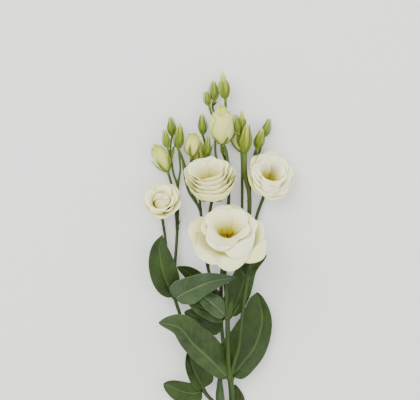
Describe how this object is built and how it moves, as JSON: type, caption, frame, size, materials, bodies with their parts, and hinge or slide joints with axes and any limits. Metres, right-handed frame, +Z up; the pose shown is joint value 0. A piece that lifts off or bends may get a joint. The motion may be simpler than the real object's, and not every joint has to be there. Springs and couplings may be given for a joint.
{
  "type": "lisianthus flower",
  "caption": "Cut spray of double white lisianthus, laid down: ruffled many-petalled blooms, cream and green buds and oval leaves on one branching stem.",
  "frame": {"origin": "on the table, under the middle of the spray's bounding box", "axes": "+Y runs along the spray from the cut end of the stem to the buds, +Z up from the table, +X across"},
  "size_m": [0.1539, 0.3904, 0.069],
  "materials": {
    "stem_green": "smooth waxy green stems and sepals",
    "leaf_green": "matt grey-green leaf with raised veins",
    "petal_white": "soft satin white petal, cream towards the throat",
    "bud_cream": "rolled cream petals, yellow-green at the tip",
    "bud_green": "tightly rolled yellow-green petals",
    "centre_gold": "powdery golden stigma and stamens"
  },
  "bodies": {
    "root": {"spray_stem": "stem_green", "leaf_left": "leaf_green", "leaf_long": "leaf_green", "leaf_front": "leaf_green", "leaf_right": "leaf_green", "leaf_back": "leaf_green", "leaf_inner_left": "leaf_green", "leaf_small_upper": "leaf_green", "leaf_small_middle": "leaf_green", "leaf_small_lower": "leaf_green", "leaf_low_upright": "leaf_green", "leaf_low_side": "leaf_green", "leaf_stem_left": "leaf_green", "leaf_stem_right": "leaf_green", "bloom_front_petals": "petal_white", "bloom_front_centre": "centre_gold", "bloom_centre_petals": "petal_white", "bloom_centre_centre": "centre_gold", "bloom_right_petals": "petal_white", "bloom_right_centre": "centre_gold", "bloom_left_petals": "petal_white", "bloom_left_centre": "centre_gold", "bud_top_1": "bud_green", "bud_top_2": "bud_green", "bud_top_3": "bud_green", "bud_middle": "bud_green", "bud_left_1": "bud_green", "bud_left_2": "bud_green", "bud_left_3": "bud_green", "bud_right_1": "bud_green", "bud_right_2": "bud_green", "bud_right_3": "bud_green", "bud_right_4": "bud_green", "bud_right_5": "bud_green", "bud_small": "bud_green", "bud_cream_left": "bud_cream", "bud_cream_tall": "bud_cream", "bud_cream_right": "bud_cream", "bud_cream_middle": "bud_cream", "bud_cream_hidden": "bud_cream"}
  },
  "joints": []
}
